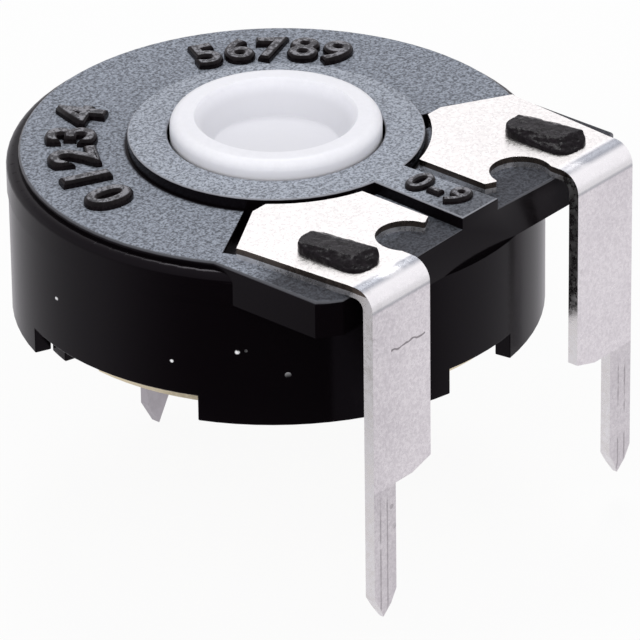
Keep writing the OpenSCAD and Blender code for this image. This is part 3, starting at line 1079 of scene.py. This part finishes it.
    def build(self) -> None:
        """Build the housing's pieces."""
        self.shell()
        for side in Side:
            self.head(side)
        self.numerals()


# ---- Terminals -----------------------------------------------------------


@dataclass
class Terminals:
    """The two end terminals: punched, bent and tinned."""

    tin: bpy.types.Material
    cut: bpy.types.Material
    edge: float = 0.035
    bend_y: float = -7.4
    leg_z: float = 5.44

    def is_cut(self, centre: Vector, normal: Vector) -> bool:
        """Tell a sheared edge face from a rolled face of the sheet.

        Args:
            centre: The face's centre.
            normal: Its direction.

        Returns:
            Whether it was sheared.
        """
        if centre.y > self.bend_y:
            return abs(normal.z) < 0.4
        if centre.z < self.leg_z:
            return abs(normal.y) < 0.4
        return abs(normal.x) > 0.7

    def blade(self, node: str) -> None:
        """Dress one terminal: its edges are eased and its sheared faces show the core.

        Args:
            node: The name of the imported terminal.
        """
        obj = merged_copy(node)
        dress(obj, self.tin, self.cut)
        edit(obj, self.is_cut)
        obj.active_material_index = 1
        bpy.ops.object.material_slot_assign()
        leave()
        ease_edges(obj, self.edge)
        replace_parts(settle(obj, node + "_blade", "base"), node)

    def build(self) -> None:
        """Build both terminals."""
        for side in Side:
            self.blade("terminal_" + side.word)


# ---- Rotor ---------------------------------------------------------------


@dataclass
class Rotor:
    """The white rotor, with its rim and dish."""

    white: bpy.types.Material
    edge: float = 0.04

    def build(self) -> None:
        """Dress the rotor with eased edges."""
        obj = merged_copy("rotor")
        ease_edges(obj, self.edge, degrees=50)
        dress(obj, self.white)
        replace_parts(settle(obj, "rotor_moulding", "turning"), "rotor")


# ---- Inside --------------------------------------------------------------


@dataclass
class Inside:
    """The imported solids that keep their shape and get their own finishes."""

    finishes: dict[str, bpy.types.Material]

    def build(self) -> None:
        """Give each node its finish."""
        for node, material in self.finishes.items():
            dress(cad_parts[node], material)
            log.info("%s: finished as %s", node, material.name)


# ---- Studio --------------------------------------------------------------


@dataclass
class Studio:
    """Pale floor, white surround, soft lights and the camera."""

    azimuth: float = -49.248
    elevation: float = 28.709
    roll: float = 0.724
    distance: float = 201.42
    aim: Place = (0.795, -0.808, 0.137)
    focal_px: float = 7271.0
    frame_px: float = 640.0
    sensor: float = 36.0
    behind: Place = (0.758, 0.652, 0.0)
    fill: tuple[float, float] = (1.5, 0.05)
    mirrored: tuple[float, float] = (0.06, 0.76)
    sky: tuple[float, float] = (0.75, 0.98)
    tint: Colour = (0.98, 0.955, 1.0)
    floor_size: float = 3.0
    floor_shown: float = 0.92
    floor_matt: Colour = (0.82, 0.82, 0.82)
    card_edge: tuple[float, float] = (13.5 * MM, 17.5 * MM)
    key_at: Place = (76, 65, 170)
    key_size: float = 70
    key_level: float = 0.24

    def camera(self) -> None:
        """Place the camera by its bearing, height, distance and roll."""
        a, e = math.radians(self.azimuth), math.radians(self.elevation)
        away = Vector((math.sin(a) * math.cos(e), -math.cos(a) * math.cos(e), math.sin(e)))
        right = Vector((math.cos(a), math.sin(a), 0.0))
        turn = Matrix.Rotation(-math.radians(self.roll), 3, away)
        right = turn @ right
        up = away.cross(right)
        data = bpy.data.cameras.new("Camera")
        data.lens = self.focal_px * self.sensor / self.frame_px
        data.sensor_width = self.sensor
        data.clip_start = 0.01
        camera = bpy.data.objects.new("Camera", data)
        bpy.context.scene.collection.objects.link(camera)
        place = Matrix((right, up, away)).transposed().to_4x4()
        place.translation = (Vector(self.aim) + self.distance * away) * MM
        camera.matrix_world = place
        bpy.context.scene.camera = camera

    def softbox(self) -> None:
        """Hang a square light behind the part, at a level given as a share of white on a matt face."""
        at = Vector(self.key_at)
        data = bpy.data.lights.new("Back key", "AREA")
        data.shape = "SQUARE"
        data.size = self.key_size * MM
        data.energy = self.key_level * math.pi * math.pi * (at.length * MM) ** 2 * at.length / at.z
        light = bpy.data.objects.new("Back key", data)
        bpy.context.scene.collection.objects.link(light)
        light.location = at * MM
        light.rotation_euler = at.to_track_quat("Z", "Y").to_euler()

    def _shown(self, net: Net, bearing: bpy.types.NodeSocket, level: float,
               mirrored: tuple[float, float]) -> bpy.types.NodeSocket:
        """Work out how white the surround looks: to the camera, and in the part's reflections.

        Args:
            net: The net of the floor's material or of the world.
            bearing: The direction from the part.
            level: How white the camera sees it.
            mirrored: How white the part's reflections show it, in front and behind.

        Returns:
            The level: 0 to a diffuse ray, and in reflections paler behind the part than in front.
        """
        path = net.add("ShaderNodeLightPath")
        side = net.vector("DOT_PRODUCT", bearing, self.behind).outputs["Value"]
        reflected = net.spread(side, -0.95, -0.3, *mirrored)
        seen = net.math("MAXIMUM", path.outputs["Is Camera Ray"], path.outputs["Is Transmission Ray"])
        return net.math("ADD", net.math("MULTIPLY", seen, level),
                        net.math("MULTIPLY", path.outputs["Is Glossy Ray"], reflected))

    def _hue(self, net: Net) -> bpy.types.NodeSocket:
        """Give white to the camera, and a cool tint to the part's reflections."""
        path = net.add("ShaderNodeLightPath")
        return net.blend(path.outputs["Is Glossy Ray"], (1.0, 1.0, 1.0), self.tint)

    def floor(self) -> None:
        """Lay the floor under the lowest pin point."""
        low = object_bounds()[0][2]
        clear_selection()
        bpy.ops.mesh.primitive_plane_add(size=self.floor_size, location=(0, 0, low))
        obj = bpy.context.object
        obj.name = "floor"
        material = bpy.data.materials.new("Floor")
        material.use_nodes = True
        net = Net(material.node_tree)
        at = net.place()
        beyond = net.spread(net.vector("LENGTH", at).outputs["Value"], *self.card_edge)
        bearing = net.add("ShaderNodeMix", {0: beyond, 4: (0.0, 0.0, 0.0),
                                            5: net.vector("NORMALIZE", at).outputs[0]},
                          data_type="VECTOR").outputs[1]
        shown = self._shown(net, bearing, self.floor_shown, self.mirrored)
        matt = net.add("ShaderNodeBsdfDiffuse")
        glossy = net.add("ShaderNodeLightPath").outputs["Is Glossy Ray"]
        net.put(matt, "Color", net.blend(glossy, self.floor_matt, (0.0, 0.0, 0.0)))
        white = net.add("ShaderNodeEmission", {"Strength": 1.0})
        net.put(white, "Color", self._hue(net))
        mixed = net.add("ShaderNodeMixShader", {0: shown, 1: matt.outputs[0], 2: white.outputs[0]})
        net.add("ShaderNodeOutputMaterial", {"Surface": mixed.outputs[0]})
        obj.data.materials.append(material)
        obj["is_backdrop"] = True

    def world(self) -> None:
        """Surround the part with an even light that the camera sees as white."""
        world = bpy.data.worlds.new("Surround")
        bpy.context.scene.world = world
        world.use_nodes = True
        net = Net(world.node_tree)
        bearing = net.add("ShaderNodeTexCoord").outputs["Generated"]
        side = net.vector("DOT_PRODUCT", bearing, self.behind).outputs["Value"]
        fill = net.spread(side, -1.0, 1.0, *(0.5 * share for share in self.fill))
        path = net.add("ShaderNodeLightPath")
        plain = net.math("SUBTRACT", 1.0, net.math("MAXIMUM", path.outputs["Is Camera Ray"], net.math(
            "MAXIMUM", path.outputs["Is Glossy Ray"], path.outputs["Is Transmission Ray"])))
        level = net.math("MAXIMUM", self._shown(net, bearing, 1.0, self.sky),
                         net.math("MULTIPLY", plain, fill))
        doubled = net.spread(plain, 0.0, 1.0, 0.5, 1.0)
        strength = net.measure("MULTIPLY", net.math("MULTIPLY", level, doubled), 2.0)
        back = net.add("ShaderNodeBackground", {"Strength": strength})
        net.put(back, "Color", self._hue(net))
        net.add("ShaderNodeOutputWorld", {"Surface": back.outputs[0]})

    def build(self) -> None:
        """Build the stage."""
        self.floor()
        self.world()
        self.softbox()
        self.camera()
        bpy.context.scene.view_settings.view_transform = "Standard"


# ---- Assembly ------------------------------------------------------------


def main() -> None:
    """Build the looks in order: housing, terminals, rotor, inside, studio."""
    logging.basicConfig(level=logging.INFO, format="%(name)s: %(message)s")
    effects = Effects()
    black = MouldedBlack(effects).build()
    # The numerals get a strong painted highlight along their crests, the melted heads a faint one.
    raised = GlossBlack(effects, "Polished black").build()
    melted = GlossBlack(effects, "Melted black", 0.03, (0.003, 0.002, 0.0028), 0.2, 0.4).build()
    Housing(black, raised, melted).build()
    # The sheared edges get dark painted shade from 5.9 to 7 mm up, at the plates.
    cut = PlainMetal(effects, "Sheared edge", (0.97, 0.96, 0.96), (0.84, 0.82, 0.8), 0.3,
                     (0.16, 0.13, 0.11), 5.9, 7.0).build()
    Terminals(TinnedSheet(effects).build(), cut).build()
    Rotor(WhiteResin(effects).build()).build()
    # The collector gets grey painted shade between -6 and 1 mm, on its pin.
    collector = PlainMetal(effects, "Collector brass", (0.97, 0.88, 0.66), (0.88, 0.78, 0.54), 0.42,
                           (0.48, 0.46, 0.48), -6.0, 1.0).build()
    spring = PlainMetal(effects, "Spring bronze", (0.86, 0.78, 0.62), (0.76, 0.66, 0.5), 0.3).build()
    silver = PlainCoat(effects, "Silver print", (0.72, 0.72, 0.7), (0.6, 0.6, 0.58), 0.5).build()
    Inside({
        "element_board": PlainCoat(effects, "Laminate", (0.42, 0.27, 0.13), (0.33, 0.2, 0.09)).build(),
        "carbon_track": PlainCoat(effects, "Carbon print", (0.035, 0.035, 0.037),
                                  (0.02, 0.02, 0.022)).build(),
        "end_pad_left": silver,
        "end_pad_right": silver,
        "collector": collector,
        "wiper": spring,
    }).build()
    Studio().build()


if __name__ == "__main__":
    main()
